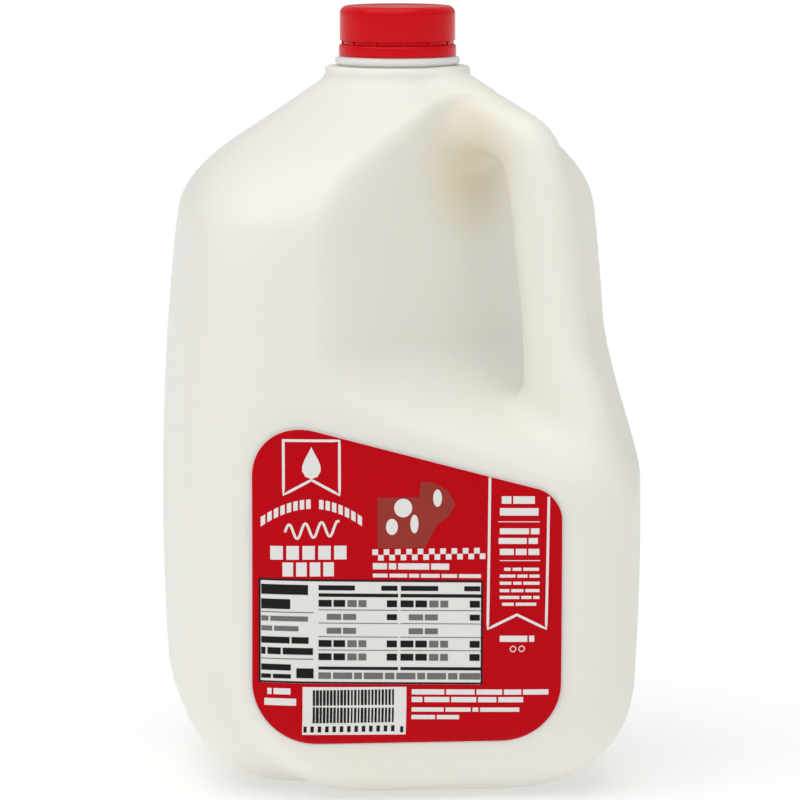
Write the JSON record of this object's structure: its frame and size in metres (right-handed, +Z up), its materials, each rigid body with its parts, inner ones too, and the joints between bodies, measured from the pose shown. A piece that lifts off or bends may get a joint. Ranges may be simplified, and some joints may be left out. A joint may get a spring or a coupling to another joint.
{
  "type": "plastic milk jug",
  "caption": "Full, shut milk jug: blow-moulded body with a through handle at one corner, stepped neck, tamper ring, screw cap and wrapped side label.",
  "frame": {"origin": "centre of the bounding box of the whole part, at the height of the lowest point of the foot", "axes": "+Z up through the neck and cap; -Y out of the labelled side; +X to the right seen from the labelled side; the handle stands over the corner between +X and -Y"},
  "size_m": [0.1524, 0.153, 0.2543],
  "materials": {
    "jug_plastic": "satin translucent plastic with milk behind it",
    "cap_plastic": "glossy",
    "label_film": "printed film, satin"
  },
  "bodies": {
    "root": {"jug": "jug_plastic", "tamper_ring": "cap_plastic", "cap": "cap_plastic", "label": "label_film"}
  },
  "joints": []
}
